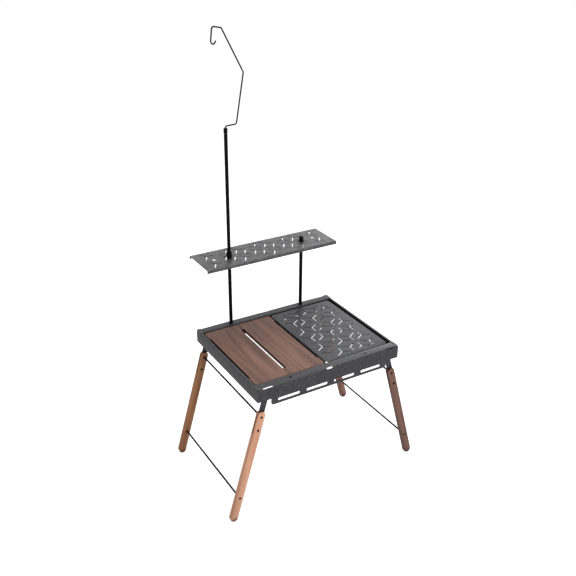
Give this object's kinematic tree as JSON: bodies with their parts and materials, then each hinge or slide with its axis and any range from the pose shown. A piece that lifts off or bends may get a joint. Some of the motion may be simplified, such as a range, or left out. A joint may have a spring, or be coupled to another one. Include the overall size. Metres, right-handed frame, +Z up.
{
  "type": "camping table",
  "caption": "Low folding camping table: steel frame, splayed wooden legs, drop-in wood and pierced steel tops, raised pierced shelf and a pole with a lamp hook.",
  "frame": {"origin": "on the floor, at the middle of the footprint of the whole table with its shelf", "axes": "+X to the right along the front, +Y to the back, where the shelf stands, +Z up"},
  "size_m": [0.7206, 0.4932, 1.4458],
  "materials": {
    "dark_powder_coat": "satin dark grey powder coat",
    "grey_powder_coat": "satin mid grey powder coat",
    "black_steel": "satin black lacquer",
    "zinc_plate": "dull zinc plate",
    "brown_wood": "oiled brown wood with long grain",
    "light_wood": "oiled light wood with long grain",
    "black_plastic": "matt black"
  },
  "bodies": {
    "frame": {"front_rail": "dark_powder_coat", "back_rail": "dark_powder_coat", "left_side_rail": "dark_powder_coat", "right_side_rail": "dark_powder_coat", "left_front_corner_rivet": "dark_powder_coat", "left_front_pivot_pin": "zinc_plate", "left_back_corner_rivet": "dark_powder_coat", "left_back_pivot_pin": "zinc_plate", "left_post": "black_steel", "left_post_nut": "zinc_plate", "right_front_corner_rivet": "dark_powder_coat", "right_front_pivot_pin": "zinc_plate", "right_back_corner_rivet": "dark_powder_coat", "right_back_pivot_pin": "zinc_plate", "right_post": "black_steel", "right_post_nut": "zinc_plate", "shelf": "grey_powder_coat", "shelf_knob": "black_plastic", "pole_collar": "black_steel", "upper_pole": "black_steel", "pole_cap": "black_plastic"},
    "left_leg_frame": {"left_front_leg": "light_wood", "left_front_bracket": "dark_powder_coat", "left_front_leg_upper_rod_nut": "black_steel", "left_front_leg_lower_rod_nut": "black_steel", "left_front_leg_screw": "black_steel", "left_front_leg_screw_nut": "black_steel", "left_back_leg": "brown_wood", "left_back_bracket": "dark_powder_coat", "left_back_leg_upper_rod_nut": "black_steel", "left_back_leg_lower_rod_nut": "black_steel", "left_back_leg_screw": "black_steel", "left_back_leg_screw_nut": "black_steel", "left_upper_rod": "black_steel", "left_lower_rod": "black_steel"},
    "right_leg_frame": {"right_front_leg": "brown_wood", "right_front_bracket": "dark_powder_coat", "right_front_leg_upper_rod_nut": "black_steel", "right_front_leg_lower_rod_nut": "black_steel", "right_front_leg_screw": "black_steel", "right_front_leg_screw_nut": "black_steel", "right_back_leg": "brown_wood", "right_back_bracket": "dark_powder_coat", "right_back_leg_upper_rod_nut": "black_steel", "right_back_leg_lower_rod_nut": "black_steel", "right_back_leg_screw": "black_steel", "right_back_leg_screw_nut": "black_steel", "right_upper_rod": "black_steel", "right_lower_rod": "black_steel"},
    "wood_top": {"left_front_batten_screw": "zinc_plate", "left_back_batten_screw": "zinc_plate", "wood_board_left": "brown_wood", "right_front_batten_screw": "zinc_plate", "right_back_batten_screw": "zinc_plate", "wood_board_right": "brown_wood", "front_batten": "zinc_plate", "back_batten": "zinc_plate"},
    "pierced_top": {"steel_top": "dark_powder_coat"},
    "hook": {"lamp_hook": "black_steel"}
  },
  "joints": [
    {"name": "left_leg_fold", "type": "hinge", "parent": "frame", "child": "left_leg_frame", "pos_m": [-0.2415, -0.03145, 0.4336], "axis": [0, -1, 0], "range_deg": [0, 105.9]},
    {"name": "right_leg_fold", "type": "hinge", "parent": "frame", "child": "right_leg_frame", "pos_m": [0.2226, -0.03145, 0.4336], "axis": [0, 1, 0], "range_deg": [0, 95.9]},
    {"name": "hook_swivel", "type": "hinge", "parent": "frame", "child": "hook", "pos_m": [-0.1394, 0.1672, 1.146], "axis": [0, 0, 1], "continuous": true},
    {"name": "wood_top_lift", "type": "slide", "parent": "frame", "child": "wood_top", "axis": [0, 0, 1], "range_m": [0, 0.15]},
    {"name": "steel_top_lift", "type": "slide", "parent": "frame", "child": "pierced_top", "axis": [0, 0, 1], "range_m": [0, 0.15]}
  ]
}
